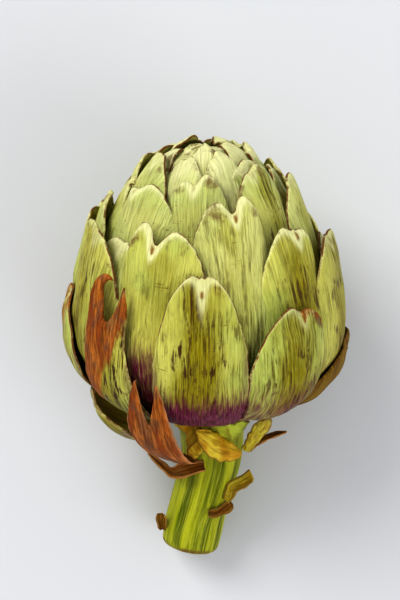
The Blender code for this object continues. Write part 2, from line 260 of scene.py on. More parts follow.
# %% The looks of the front bracts
CLOSED = Look(taper=0, stain=0.3, tone=0.1, cream=1, narrow=-0.45, arch=1.6, thorn=0.1)
CROWN_FRONT = CLOSED._replace(notch=1.5, narrow=-0.4, arch=1.8, wave=0.55, tilt=1, tuck=1)
LOOKS = {
    "bract_row1_1": Look(
        taper=0.19, notch=3.4, notch_at=0.03, gap=0.2, groove=1.8, stain=1.1, scorch_left=0.1,
        scorch_right=0.6, purple=1, margin=0.8, tone=0.75, cream=0.8, arch=3.2, narrow=-0.06,
        tilt=0, thorn_at=5.5, ridge=13),
    "bract_row1_2": Look(
        taper=0.2, notch=3.5, notch_at=0.24, gap=0.1, lean=0.4, groove=1.2, stain=1.1,
        scorch_left=0, scorch_right=1.4, flap=0.85, purple=0.6, margin=0.6, roll_right=2,
        tone=0.75, cream=0.5, arch=3.2, narrow=-0.1, tilt=0),
    "bract_row1_3": Look(
        taper=0.12, notch=4, lean=-3, stain=0.9, tone=0.7, margin=0.6, arch=1.2, purple=0.5),
    "bract_row1_7": Look(
        taper=0.25, notch=1.5, stain=0.7, dry=0.6, margin=0.9, arch=0.7, tuck=1.8, narrow=0),
    "bract_row1_8": Look(
        notch=17.5, gap=0.36, lean=-6, groove=0, roll_left=1.8, roll_right=0.8, stain=1.5, dry=1,
        margin=0.6, tone=0.6, cream=0, thorn=0, narrow=0.3, reach=11, fork=1.5, splay=0.2,
        hook=110, arch=2),
    "bract_row2_1": Look(
        notch=14, notch_at=-0.24, gap=0.3, skew=0.5, lean=-3, groove=2, roll_left=1.2,
        roll_right=0.5, stain=0.45, scorch_left=0.6, scorch_right=0.6, tone=0.4, cream=1.1,
        purple=0.8, reach=4.5),
    "bract_row2_2": Look(
        taper=0.12, notch=4, notch_at=0.25, gap=0.24, lean=1.5, groove=1.2, roll_right=1.2,
        stain=0.85, scorch_left=0.2, scorch_right=0.5, tone=0.75, cream=0.9, reach=2),
    "bract_row2_8": Look(notch_at=0.2, stain=0.9, margin=0.9, thorn=0.3),
    "bract_row3_1": Look(
        taper=0.12, notch=13, notch_at=0.2, gap=0.32, skew=-0.45, lean=2, groove=2,
        roll_right=0.6, scorch_left=1, scorch_right=0.6, tone=0.3, cream=1, reach=5),
    "bract_row3_2": Look(taper=0.12, margin=0.5, thorn=0.3),
    "bract_row3_6": Look(taper=0.15, notch=2, stain=0.4, tone=0.6),
    "bract_row3_7": Look(
        taper=0.12, notch=2.5, stain=0.15, scorch_left=0.5, tone=0, cream=1, thorn=0.3),
    "bract_row4_1": Look(
        taper=0, notch=4, notch_at=-0.35, gap=0.25, lean=1.5, stain=0.25, scorch_left=0.7,
        tone=0.15, cream=1, narrow=-0.45, tilt=-0.3, thorn=0.4),
    "bract_row4_2": Look(
        notch_at=-0.2, stain=0.75, scorch_left=0.7, scorch_right=0.5, tone=0.45, thorn=0.3),
    "bract_row4_6": CLOSED._replace(
        notch=2, scorch_left=0.6, cream=0.8, reach=-5, tilt=0.4, tuck=1.5),
    "bract_row5_1": Look(
        notch=9, notch_at=-0.15, gap=0.34, groove=2, stain=0.3, tone=0.2, scorch_left=0.7,
        scorch_right=0.7, cream=1, reach=5, arch=2, thorn=0.3),
    "bract_row5_5": CLOSED._replace(notch=1.5, scorch_right=0.6, reach=-3, tilt=0.4, tuck=2.4),
    "bract_row5_6": CLOSED._replace(
        notch=2, stain=0.4, scorch_left=0.7, tone=0.2, cream=0.6, reach=8, arch=1.4, tilt=0.8),
    "bract_row6_1": CROWN_FRONT._replace(notch_at=-0.2, scorch_left=1, scorch_right=0.6, reach=4),
    "bract_row6_2": CROWN_FRONT._replace(
        notch_at=-0.3, stain=0.5, scorch_left=0.8, scorch_right=0.5, reach=5.5),
    "bract_row7_1": CROWN_FRONT._replace(
        notch=1, stain=0.2, scorch_left=0.4, scorch_right=0.8, tone=0, narrow=-0.9, reach=9,
        tuck=0.3, wave=0.5),
    "low_bract_right": Look(
        taper=0.15, notch=1.5, stain=1, dry=0.5, margin=1, tone=1.5, arch=1, cream=0.1, tilt=2.4),
    "low_bract_left": Look(taper=0.15, notch=1, stain=0.8, dry=0.3, margin=1, tone=0.9, cream=0),
    "forked_dried_bract": Look(
        taper=0.15, notch=20, notch_at=0.15, gap=0.45, lean=3, groove=-0.5, arch=0.8, dry=1,
        tone=0, cream=0, thorn=0, fork=6, reach=3, narrow=0.15, hook=40, foot=0.3),
}
print("bracts with a look of their own:", len(LOOKS))

# %% A plausible look for every other bract
ROW_REACH = (0, 0, 0, 0, 1.5, 7.5, 9.5)
HIDDEN_SIDE = Look(cream=0.7, thorn=0.35, arch=2.2)
HIDDEN_CROWN = CLOSED._replace(tone=0.12, arch=1.3, wave=0.55, tilt=1.1)


def look_of(name, row, rng):
    """A bract's own look, or a plausible one for those that nobody sees from the front."""
    chance = rng.random(8)
    if name in LOOKS:
        return LOOKS[name]
    outer = row < LAST_OUTER_ROW
    marks = dict(
        notch_at=0.5 * (chance[2] - 0.5), lean=3 * (chance[3] - 0.5), skew=0.8 * (chance[3] - 0.5),
        stain=(0.35 + 0.45 * chance[4]) * (1 if outer else 0.75), margin=0.5 if outer else 0.2,
        tuck=0.4 + 0.3 * row + (0.3 if row >= FIRST_CLOSED_ROW else 0), reach=ROW_REACH[row])
    if row >= CROWN_ROW:
        return HIDDEN_CROWN._replace(
            notch=1 + 1.5 * chance[1], scorch_left=0.2 + 0.8 * chance[5],
            scorch_right=0.2 + 0.8 * chance[6], narrow=-0.9 if row == TOP_ROW else -0.45, **marks)
    return HIDDEN_SIDE._replace(
        taper=0.08 + 0.1 * chance[0], notch=3 + 3 * chance[1], scorch_left=0.8 * chance[5],
        scorch_right=0.8 * chance[6], tone=0.3 + 0.35 * chance[7],
        purple=0.3 if row == 0 else 0, **marks)


example = look_of("any other", 1, np.random.default_rng(1))
print("an example of a chosen notch, in mm:", round(float(example.notch), 1))

# %% [markdown]
# ## One sheet for every leaf
#
# A leaf is a thin closed slab: a skin on each side and a narrow rim. A grid, extruded by one
# layer, gives exactly that with even quads, and one extra loop round the rim lets the edge be
# round instead of sharp. The sheet stays a flat square at first. Every shape after this only
# says where a point of the square goes.

# %% A square slab with a round rim
def make_sheet(across, along):
    """z is 0 on the outer side, -1 on the inner side and -0.5 in the middle of the rim."""
    bm = bmesh.new()
    bmesh.ops.create_grid(bm, x_segments=across, y_segments=along, size=1)
    slab = bmesh.ops.extrude_face_region(bm, geom=bm.faces[:])
    inner = [item for item in slab["geom"] if isinstance(item, bmesh.types.BMVert)]
    bmesh.ops.translate(bm, verts=inner, vec=(0, 0, -1))
    rim = [edge for edge in bm.edges if edge.verts[0].co.z != edge.verts[1].co.z]
    bmesh.ops.subdivide_edges(bm, edges=rim, cuts=1)
    return bm


def smooth_step(low, high, value):
    part = np.clip((value - low) / (high - low), 0, 1)
    return part * part * (3 - 2 * part)


def ripple(across, along, wavelength, rng, waves=7):
    """Soft irregular bumps between about -1 and 1; both places are in millimetres."""
    total = np.zeros_like(across)
    for _ in range(waves):
        turn, phase, stretch = rng.uniform(0, 2 * math.pi), rng.uniform(0, 2 * math.pi), \
            rng.uniform(0.7, 1.5)
        beat = 2 * math.pi / wavelength * stretch
        total += np.sin(beat * (math.cos(turn) * across + math.sin(turn) * along) + phase)
    return total / math.sqrt(2 * waves)


test_sheet = make_sheet(4, 4)
print("faces of a sheet of 4 by 4 cells:", len(test_sheet.faces))
test_sheet.free()

# %% [markdown]
# ## The outline of a bract
#
# The lower part of a bract is a band of constant angle round the bud, and its upper part is
# half an ellipse that tapers to the tip. In x and y, which run from -1 to 1 across and along it,
# the notch pulls the rim down and the thorn pushes it out again in a very narrow place. The tip
# then leans, reaches or narrows. On a forked bract the two prongs spread, and the left one can
# bend over.

# %% A leaf with a notched tip
ROUNDNESS = 0.44
THORN_SPREAD = 0.035
PRONG_TURN, PRONG_STRETCH = 0.25, 2.2


def crowd(t):
    """Move the cells of a square towards its edges, where the shape needs them."""
    return t * (1.25 - 0.25 * t * t)


def leaf_outline(u, v, taper):
    """Turn the square into a leaf with a rounded tip at v = 1."""
    high = np.maximum(v, 0)
    x = u * np.sqrt(1 - ROUNDNESS * high ** 2)
    y = np.where(v > 0, v * np.sqrt(1 - ROUNDNESS * u ** 2), v)
    return x * (1 - taper * np.maximum(y, 0) ** 2), y


def bend_left_prong(x, y, left, degrees):
    """Bend the end of the left prong over to the right, round a pivot beside it."""
    pivot = x[left & (y > 0.6)].max() + 0.04
    end = y[left].max()
    length = math.radians(degrees) * PRONG_TURN / PRONG_STRETCH
    turn = math.radians(degrees) * np.clip((y - end + length) / length, 0, 1) * left
    arm = pivot - x
    bent = end - length + arm * np.sin(turn) / PRONG_STRETCH
    return np.where(turn > 0, pivot - arm * np.cos(turn), x), np.where(turn > 0, bent, y)


def notched_outline(look, u, v, top_length):
    """x and y of the leaf with its tip, and how far each point is from the notch in x."""
    x, y = leaf_outline(u, v, look.taper)
    upper = np.clip(y, 0, 1)
    from_notch = x - look.notch_at * (1 - 0.3 * upper)
    if look.fork:
        prong = np.abs(from_notch) / look.gap
        notch = look.notch * np.clip(1 - prong ** 1.5, 0, 1) + look.fork * np.clip(prong - 1, 0, 1)
    else:
        gap = look.gap * (1 + look.skew * np.sign(from_notch))
        notch = look.notch * np.exp(-np.abs(from_notch / gap) ** 1.3)
    notch -= look.thorn * np.exp(-(from_notch / THORN_SPREAD) ** 2) * smooth_step(0.9, 1, v)
    spread = max(1, min(3, 0.7 * top_length / max(look.notch, 1)))
    y = y + (look.lean * x - notch) / top_length * upper ** spread
    y += (1 + look.reach / top_length - y[v > 0.999].max()) * upper ** spread
    x = x * (1 - look.narrow * smooth_step(-0.6, 0.6, y))
    x += look.splay * (from_notch > 0) * smooth_step(0.55, 1.1, y)
    if look.hook:
        x, y = bend_left_prong(x, y, from_notch < 0, look.hook)
    x *= 1 + look.foot * (1 - smooth_step(-0.9, 0.2, y))
    return x, y, from_notch


print("half width of a plain leaf at its shoulder and near its tip:",
      [round(float(leaf_outline(1.0, high, 0.1)[0]), 2) for high in (0.0, 0.9)])

# %% [markdown]
# ## The relief of a bract
#
# The relief adds up what a real bract does. Its middle stands proud, its edges hug the bracts
# below, a groove runs down from the notch, the thorn and the ridge stand out of it, the lobes
# roll in or out, and everything is a little uneven. The inner rows bend in at the tip, which
# closes the crown.

# %% How far each point stands out
EDGE_DROP, LOBE_LIFT, CLOSING = 1.0, 0.7, 1.3
THORN_HEIGHT, THORN_WIDTH, THORN_LENGTH = 0.7, 0.7, 1.3
RIDGE_HEIGHT, RIDGE_WIDTH = 0.8, 1.7
CREASES, RIM_ROUNDING = 0.12, 0.35
WAVE_LENGTH, CREASE_LENGTH, CREASE_STRETCH = 16, 9, 3


def lift_of(bract, look, row, at, rng):
    """How far each point stands out of its row, in millimetres."""
    upper, along = at.upper, at.along
    lift = bract.flare * upper ** 2 + bract.bulge * np.sin(math.pi * along)
    lift += bract.hang * np.clip(1 - along, 0, None) ** bract.fall
    swelling = smooth_step(0.1, 0.5, along) if row < 1 else smooth_step(0.3, 0.65, along)
    lift += look.arch * (1 - np.abs(at.x) ** 2.4) * swelling * (1 - 0.55 * upper ** 3)
    lift += look.tilt * at.x - EDGE_DROP * at.x ** 4 * np.clip(along, 0, 1)
    lift -= look.groove * np.exp(-(at.from_notch / 0.22) ** 2 - (at.below / 6) ** 2)
    lift += THORN_HEIGHT * np.exp(-(at.beside / THORN_WIDTH) ** 2
                                  - ((at.below - look.thorn_at) / THORN_LENGTH) ** 2)
    ridge_end = (at.below - 0.7 * look.ridge) / 0.6 / look.ridge
    lift += RIDGE_HEIGHT * look.cream * np.exp(-(at.beside / RIDGE_WIDTH) ** 2 - ridge_end ** 2)
    lift += LOBE_LIFT * upper ** 3 * (1 - np.exp(-(at.from_notch / 0.3) ** 2))
    lift -= look.tuck * upper ** 2
    lift += upper ** 3 * (look.roll_left * (1 - at.side) + look.roll_right * (1 + at.side)) / 2
    if row >= FIRST_CLOSED_ROW:
        lift -= CLOSING * np.clip(along, 0, 1.2) ** 6
    lift += look.wave * ripple(at.across, at.arc, WAVE_LENGTH, rng) * smooth_step(0, 0.3, along)
    lift += CREASES * ripple(at.across * CREASE_STRETCH, at.arc * 0.6, CREASE_LENGTH, rng)
    return lift - RIM_ROUNDING * np.exp(-at.edge / 0.7) * (1 + upper)


print("thorn and ridge stand out by, in mm:", THORN_HEIGHT, RIDGE_HEIGHT)

# %% [markdown]
# ## What the finish has to know
#
# The finish needs masks: where the bract is cream, stained, smudged, purple or dry, and how far
# each point is from the edge. The shape knows these places best, so the masks are worked out
# with it, one value for each vertex. The flesh of the bract is thick in the middle and thin at
# the rim.

# %% Masks, and the whole bract
FLESH, RIM, RIM_SWELL, FLESH_REACH = 1.7, 0.5, 0.25, 9
RAGGEDNESS, RAGGED_LENGTH = 0.25, 5
PURPLE_FADES, ROW_SHIFT = (math.radians(47), math.radians(72)), math.radians(20)
RIDGE_CREAM, RIDGE_NARROWS = 2.4, 0.08
NOTCH_CREAM_WIDTH, NOTCH_CREAM_LENGTH = 9, 3.2
SMUDGE_FROM_NOTCH, SMUDGE_SIZE, SMUDGE_STRETCH = 8.5, 3, 1.6
FLAP_LENGTH = 5


def masks_of(look, row, at):
    """For each vertex, how strong each mark of the finish is."""
    x, y, beside, below, edge = at.x, at.y, at.beside, at.below, at.edge
    ridge_width = RIDGE_CREAM - RIDGE_NARROWS * np.clip(below, 0, 14)
    ridge = 1.1 * np.exp(-(beside / ridge_width) ** 2 - (below / look.ridge) ** 4)
    notch = np.exp(-(beside / NOTCH_CREAM_WIDTH) ** 2 - (below / NOTCH_CREAM_LENGTH) ** 2)
    rim = 0.5 * np.exp(-(edge / 1.4) ** 2) * smooth_step(0.3, 0.8, y)
    top = 0.6 if row > CROWN_ROW else 0
    flap = look.flap * (at.from_notch > 0) * np.exp(-(below / FLAP_LENGTH) ** 4)
    smudge_at = np.minimum(SMUDGE_FROM_NOTCH - look.thorn_at, 0.5 * at.half_width)
    smudge_size = np.clip(0.3 * at.half_width, 0.5, SMUDGE_SIZE)
    smudge = np.exp(-((beside - smudge_at) / smudge_size) ** 2
                    - ((below - look.thorn_at) / smudge_size / SMUDGE_STRETCH) ** 2)
    scorch = (look.scorch_left * (1 - at.side) + look.scorch_right * (1 + at.side)) / 2
    side_tone = 1.2 * (1 - np.exp(-(x / 0.55) ** 2)) if row >= 0 else 0
    on_bud = at.phi - ROW_SHIFT * row
    return {
        "edge": np.clip(edge, 0, 10),
        "cream": look.cream * np.clip(ridge + notch + rim + top, 0, 1),
        "thorn": np.clip(look.thorn * np.exp(
            -(beside / 0.5) ** 2 - ((below - look.thorn_at) / THORN_LENGTH) ** 4), 0, 0.9),
        "purple": look.purple * (1 - smooth_step(*PURPLE_FADES, on_bud)),
        "dry": np.clip(look.dry * smooth_step(0, 0.6, 0.3 + 0.9 * y - 1.2 * x) + flap, 0, 1),
        "stain": look.stain * np.clip(1.15 - 0.8 * x * x - 0.25 * at.upper, 0, 1),
        "scorch": scorch * smudge,
        # Lower margins: partly real browning and partly painted shade between bracts.
        "margin": look.margin * (1 - smooth_step(1, 4, edge)) * (1 - smooth_step(0.1, 0.5, y)),
        "tone": look.tone * (1.3 - side_tone) * (1 - 0.5 * at.upper ** 1.5),
        "inside": at.inner * (0.3 if row >= FIRST_CLOSED_ROW else 1),
        "brown_rim": np.full_like(x, 0.8 if row >= CROWN_ROW else 0.5 + 0.3 * look.margin),
    }


def shape_bract(bract, look, row, square, rng):
    """Places for a bract's vertices, and what its finish needs to know about each of them."""
    u, v, inner = crowd(square[:, 0]), crowd(square[:, 1]), -square[:, 2]
    root = math.radians(bract.root if bract.root else FIRST_ROW_ROOT + ROW_ROOT_PITCH * row)
    tip = phi_at_height(bract.tip * MM)
    shoulder = root + (tip - root) * SHOULDER
    top_length = np.interp(tip, PHIS, ARCS) - np.interp(shoulder, PHIS, ARCS)
    x, y, from_notch = notched_outline(look, u, v, top_length)
    phi = np.where(y > 0, shoulder + (tip - shoulder) * y, shoulder + (shoulder - root) * y)
    phi = np.clip(phi, 0.05, math.pi - 0.004)
    half_width = outline(phi)[0] / MM * math.radians(bract.half_width)
    below = (1 - v) * top_length
    near_sides = ((1 - np.abs(u)) * half_width + 0.01) ** -3.0
    near_tip = (below + 0.01) ** -3.0
    at = SimpleNamespace(
        x=x, y=y, upper=np.clip(y, 0, 1), phi=phi, along=(phi - root) / (tip - root), inner=inner,
        from_notch=from_notch, side=np.tanh(from_notch / 0.25), half_width=half_width,
        across=x * half_width, arc=np.interp(phi, PHIS, ARCS), below=below,
        beside=np.abs(from_notch) * half_width, edge=(near_sides + near_tip) ** (-1 / 3))
    lift = lift_of(bract, look, row, at, rng)
    fullness = np.sqrt(np.clip(at.edge / FLESH_REACH, 0, 1)) * smooth_step(-0.1, 0.3, at.along)
    flesh = RIM + (FLESH - RIM) * fullness
    depth = row_depth(row, phi) + (lift - flesh * inner) * MM
    ragged = RAGGEDNESS * ripple(at.arc, at.arc * 0, RAGGED_LENGTH, rng)
    ragged = ragged / np.maximum(half_width, 2)
    swell = 1 + RIM_SWELL * 4 * inner * (1 - inner) / np.maximum(half_width, 2)
    azimuth = math.radians(bract.azimuth) + math.radians(bract.half_width) * x * (swell + ragged)
    grain = np.column_stack((at.across, at.arc)) / 10
    return bud_points(phi, azimuth, depth), masks_of(look, row, at), grain


print("flesh in mm, in the middle and at the rim:", FLESH, RIM)

# %% [markdown]
# ## From a sheet to a finished piece
#
# The same few steps finish every piece. What the finish needs is stored with the mesh: the masks
# as point attributes, and a UV map in centimetres across and along the leaf, so that its fibres
# follow the leaf. Nothing goes below the table. The normals are recalculated, and turned over if
# the closed shape came out inside out, which its signed volume tells. The forked bracts and those
# whose notches are seen best get a finer sheet.

# %% Store, close and link a piece
PIECES = []
PLAIN_CELLS, FINE_CELLS = (44, 64), (80, 120)
FINE_BRACTS = ("bract_row1_1", "bract_row1_2", "bract_row2_1", "bract_row2_2", "bract_row3_1",
               "bract_row4_1", "bract_row5_1")


def square_of(bm):
    return np.array([vert.co for vert in bm.verts])


def move_to(bm, places):
    for vert, place in zip(bm.verts, places):
        vert.co = place


def store(bm, masks, grain):
    """Keep the masks with the vertices, and the grain as a UV map on the corners of the faces."""
    for mask, values in masks.items():
        layer = bm.verts.layers.float.new(mask)
        for vert, value in zip(bm.verts, values):
            vert[layer] = value
    layer = bm.loops.layers.uv.new("grain")
    bm.verts.index_update()
    for face in bm.faces:
        for loop in face.loops:
            loop[layer].uv = grain[loop.vert.index]


def finish_piece(name, bm, node, slot):
    for vert in bm.verts:
        vert.co.z = max(vert.co.z, 0)
    bmesh.ops.recalc_face_normals(bm, faces=bm.faces)
    if bm.calc_volume(signed=True) < 0:
        bmesh.ops.reverse_faces(bm, faces=bm.faces)
    mesh = bpy.data.meshes.new(name)
    bm.to_mesh(mesh)
    bm.free()
    mesh.shade_smooth()
    piece = bpy.data.objects.new(name, mesh)
    bpy.context.scene.collection.objects.link(piece)
    PIECES.append((piece, node, slot))
    return piece


def make_bract(name, node, bract, row, slot, seed):
    rng = np.random.default_rng(seed)
    look = look_of(node, row, rng)
    bm = make_sheet(*(FINE_CELLS if look.fork or node in FINE_BRACTS else PLAIN_CELLS))
    places, masks, grain = shape_bract(bract, look, row, square_of(bm), rng)
    move_to(bm, places)
    store(bm, masks, grain + rng.uniform(0, 50, 2))
    return finish_piece(name, bm, node, slot)


print("cells of a plain and of a fine bract:", PLAIN_CELLS, FINE_CELLS)

# %% [markdown]
# ## The rows of bracts
#
# The outermost two rows are the fully grown green bracts and the rows inside them are paler.
# Below the first row sit three odd ones: a brown bract on the right, a small cupped one on the
# left, and a forked one that has dried to paper.

# %% Make every bract
for row, bracts in enumerate(BRACT_ROWS):
    slot = "outer_bract" if row < LAST_OUTER_ROW else "inner_bract"
    for index, bract in enumerate(bracts, start=1):
        make_bract(f"green_bract_{row + 1}_{index}", f"bract_row{row + 1}_{index}", bract, row,
                   slot, 100 * row + index)
for index, (node, bract) in enumerate(LOW_BRACTS.items()):
    slot = "outer_bract" if node == "low_bract_left" else "dried_leaf"
    make_bract("leaf_" + node, node, bract, -1, slot, 900 + index)
print("bracts made:", len(PIECES))

# %% [markdown]
# ## The stem
#
# The stem was cut about 60 mm below the bud. It is fleshy and ribbed like celery, and swells
# into the heart, which carries the bracts. A grid wrapped into a tube makes it: one direction
# goes round and the other follows a smooth curve through a few points, each with its radius. The
# ribs change the radius round the tube, and fade out on the heart and on the cut, which is a
# little hollow with a rounded edge.

# %% A smooth curve through points
STEM_ROUTE = (
    (-5.0, -63.5, -23.95, 11.3),
    (-3.7, -57.0, -22.3, 11.5),
    (-1.6, -48.0, -19.7, 11.3),
    (1.0, -38.3, -16.2, 11.4),
    (3.3, -27.8, -12.4, 11.8),
    (3.4, -17.6, -8.2, 12.2),
    (2.0, -8.6, -4.2, 12.8),
    (0.0, 0.0, 0.0, 14.0),
)


def curve_point(points, t):
    """A smooth curve through the points, as a vector of all their values; t runs 0 to 1."""
    spans = len(points) - 1
    span = min(int(t * spans), spans - 1)
    f = t * spans - span
    before, start, end, after = (
        Vector(points[min(max(span + k, 0), spans)]) for k in (-1, 0, 1, 2))
    slope_in = (end - before) / 2
    slope_out = (after - start) / 2
    return (start * (2 * f**3 - 3 * f**2 + 1) + slope_in * (f**3 - 2 * f**2 + f)
            + end * (3 * f**2 - 2 * f**3) + slope_out * (f**3 - f**2))


def curve_direction(points, t):
    step = 0.01
    ahead = curve_point(points, min(t + step, 1)) - curve_point(points, max(t - step, 0))
    return ahead.to_3d().normalized()


print("stem's length in mm:", round(sum(
    (Vector(a[:3]) - Vector(b[:3])).length for a, b in zip(STEM_ROUTE, STEM_ROUTE[1:]))))

# %% Rings along the stem and the heart
BRACT_THICKNESS, CLEARANCE = 1.2 * MM, 0.35 * MM
HEART_TOP, HEART_RINGS, HEART_RIM, HEART_HOLLOW = 62, 14, 0.93, 4 * MM
STEM_SIDES, STEM_RINGS, FIRST_STEM_RING = 160, 110, 3
RIB_ON_CUT = 0.3
CUT_RINGS = ((0.0, 0.0), (0.3, -0.2), (0.55, -0.1), (0.75, 0.35), (0.87, 0.25), (0.94, 0.0),
             (0.98, -0.6), (1.0, -1.6))


def ring(centre, along, radius, ribs):
    """Centre, right and top arms, and how strong the ribs are; the sizes are in millimetres."""
    across = (Vector((1, 0, 0)) - along * along.x).normalized()
    return centre * MM, across * radius * MM, across.cross(along) * radius * MM, ribs


def stem_rings():
    end, along = curve_point(STEM_ROUTE, 0), curve_direction(STEM_ROUTE, 0)
    rings = [ring(end.to_3d() - along * (1 + out), along, end[3] * share, RIB_ON_CUT * share ** 3)
             for share, out in CUT_RINGS]
    for index in range(FIRST_STEM_RING, STEM_RINGS):
        t = index / STEM_RINGS
        place, along = curve_point(STEM_ROUTE, t), curve_direction(STEM_ROUTE, t)
        ribs = min(1, 0.4 + index / 12) * min(1, (1 - t) * 5)
        rings.append(ring(place.to_3d(), along, place[3], ribs))
    return rings


def heart_rings():
    """The rings of the heart, just inside the roots of the bracts, and of its hollow top."""
    profile = []
    for index in range(HEART_RINGS):
        degrees = FIRST_ROW_ROOT + (HEART_TOP - FIRST_ROW_ROOT) * index / (HEART_RINGS - 1)
        rows_rooted = (degrees - FIRST_ROW_ROOT) / ROW_ROOT_PITCH
        depth = -(BRACT_THICKNESS + CLEARANCE + ROW_STEP * rows_rooted)
        profile.append(profile_point(math.radians(degrees), depth))
    rim_radius, rim_height = profile[-1]
    profile.append((rim_radius * HEART_RIM, rim_height))
    profile.append((rim_radius / 2, rim_height - HEART_HOLLOW))
    profile.append((0, rim_height - HEART_HOLLOW))
    turn = Matrix.Rotation(BUD_TILT, 3, "X")
    right, up, axis = turn @ Vector((1, 0, 0)), turn @ Vector((0, 0, 1)), turn @ Vector((0, 1, 0))
    return [(axis * height, right * radius, up * radius, 0) for radius, height in profile]


print("rings:", len(stem_rings()) + len(heart_rings()))

# %% Wrap a grid round the rings
RIB_DEPTH, KNOB_HEIGHT = 0.035, 0.03
CUT_EDGE_RING = 6


def rib_height(turn, length):
    """How far the skin stands in or out, from -1 to 1, round the stem and along it."""
    drift = 0.25 * np.sin(length * 3.1) + 0.1 * np.sin(length * 9)
    ribs = 0.6 * np.cos(7 * turn + 1.1 + drift) + 0.5 * np.cos(12 * turn + 4 - drift)
    ribs += 0.32 * np.cos(23 * turn + 2 * drift) + 0.16 * np.cos(41 * turn + 3 * drift)
    return ribs / 1.2


def make_stem():
    rings = stem_rings() + heart_rings()
    bm = bmesh.new()
    bmesh.ops.create_grid(bm, x_segments=STEM_SIDES, y_segments=len(rings) - 1, size=1)
    square = square_of(bm)
    number = np.rint((square[:, 1] + 1) / 2 * (len(rings) - 1)).astype(int)
    turn = math.pi * square[:, 0]
    centre, right, top, strength = (np.array(part)[number] for part in zip(*rings))
    length = number / len(rings)
    ribs = rib_height(turn, length)
    knob = np.exp(-((length - 0.28) / 0.03) ** 2) * np.exp(-((turn - 0.5) / 0.5) ** 2)
    swell = 1 + strength * (RIB_DEPTH * ribs + KNOB_HEIGHT * knob)
    arm = right * np.sin(turn)[:, None] + top * np.cos(turn)[:, None]
    move_to(bm, centre + arm * swell[:, None] + np.array(BUD_BASE))
    masks = {"rib": ribs * np.clip(strength, 0.2, 1), "cut": (number < CUT_EDGE_RING) * 1.0,
             "rim": np.exp(-((number - CUT_EDGE_RING) / 1.6) ** 2),
             "neck": smooth_step(0.53, 0.68, length)}
    store(bm, masks, np.column_stack((turn * 1.15, length * 8.5)))
    bmesh.ops.remove_doubles(bm, verts=bm.verts, dist=0.01 * MM)
    return finish_piece("ribbed_stem", bm, "stem_and_heart", "stem")


stem = make_stem()
print("faces of the stem:", len(stem.data.polygons))

# %% [markdown]
# ## Scraps of leaf round the neck
#
# Where the lowest leaves were torn away, curled scraps are left round the neck and on the stem.
# Each follows its own curved middle line: points with a half width, in millimetres from the base
# of the bud. Its cross-section is an arc, so that its sides curl, it faces one way at its root
# and another at its tip, and it narrows to a torn end. Drying makes it wrinkle, which the ripples
# add. Some are still partly green, and some have gone a dark olive.

# %% Loose leaves
Leaf = namedtuple("Leaf", "slot route root_faces tip_faces curl blunt green dark",
                  defaults=(0.25, 0, 0))
LEAF_THICKNESS = 0.7
LEAF_CELLS = 16, 44
WIDTH_SCALE, CURL_SCALE = 1.3, 1.25
LOOSE_LEAVES = {
    "folded_neck_leaf": Leaf(
        "neck_leaf",
        ((15.0, -25.7, 2.0, 1.6), (11.1, -23.8, 8.0, 4.0), (6.5, -22.3, 11.0, 4.9),
         (1.7, -19.3, 15.0, 3.8), (-2.8, -16.0, 19.0, 1.5)),
        (0.6, 0.4, 0.7), (0, 0.2, 1), -40),
    "narrow_neck_leaf": Leaf(
        "neck_leaf",
        ((16.8, -24.9, 0.0, 1.4), (19.9, -18.7, 12.0, 2.0), (22.4, -13.5, 25.0, 2.0),
         (24.1, -9.5, 38.5, 0.8)),
        (0.3, 0.9, 0), (0.2, 0.9, -0.3), 30, 0.25, 0.35),
    "yellow_neck_leaf": Leaf(
        "neck_leaf",
        ((-1.3, -26.5, 4.5, 1.8), (-4.2, -21.8, 7.0, 4.2), (-6.4, -16.5, 11.5, 4.7),
         (-7.0, -12.3, 18.0, 3.0)),
        (0, 0.6, 1), (0, 1, 0.5), 35),
    "pale_neck_leaf": Leaf(
        "neck_leaf",
        ((10.5, -20.5, 3.0, 3.6), (10.2, -17.0, 9.0, 5.6), (9.6, -13.5, 17.0, 5.6)),
        (-0.2, 0.8, 0.6), (0, 1, 0.3), 30, 0.6, 1),
    "brown_neck_leaf": Leaf(
        "dried_leaf",
        ((18.6, -24.3, -5.5, 0.7), (22.8, -20.9, 0.0, 0.8), (27.2, -18.7, 4.0, 0.7),
         (31.7, -17.4, 6.0, 0.4)),
        (0, 0.3, 1), (0, 0.3, 1), 20, 0.25, 0, 0.5),
    "curled_neck_leaf": Leaf(
        "dried_leaf",
        ((0.6, -31.0, 0.9, 1.6), (-4.2, -31.6, 1.4, 2.2), (-8.6, -33.2, 0.0, 2.2),
         (-12.2, -33.8, -3.0, 1.2), (-16.4, -30.9, -5.0, 0.8), (-20.9, -26.6, -3.0, 0.7)),
        (0, 0.3, 1), (-0.4, 0.3, 1), 45, 0.25, 0, 0.5),
    "stem_leaf_right": Leaf(
        "neck_leaf",
        ((9.0, -45.6, -7.9, 1.0), (10.6, -42.4, -6.2, 1.7), (12.1, -39.9, -6.0, 1.9),
         (15.6, -37.8, -5.0, 1.9), (19.0, -35.7, -3.0, 2.3)),
        (-0.4, 0.3, 1), (-0.3, 0.5, 1), 40, 0.9, 0.3),
    "stem_leaf_low_right": Leaf(
        "dried_leaf",
        ((2.4, -50.2, -6.9, 0.9), (5.3, -50.4, -7.9, 1.3), (8.7, -48.8, -9.5, 1.6),
         (11.4, -46.6, -11.0, 1.8)),
        (0, 0, 1), (0.5, 0, 1), 30, 0.25, 0, 0.8),
    "stem_leaf_left": Leaf(
        "dried_leaf",
        ((-16.0, -58.4, -18.5, 0.8), (-16.1, -56.2, -16.5, 1.2), (-16.3, -53.8, -15.0, 1.5),
         (-16.4, -51.6, -14.0, 1.4)),
        (0, 0.2, 1), (-0.3, 0, 1), 40, 0.9, 0, 0.9),
}


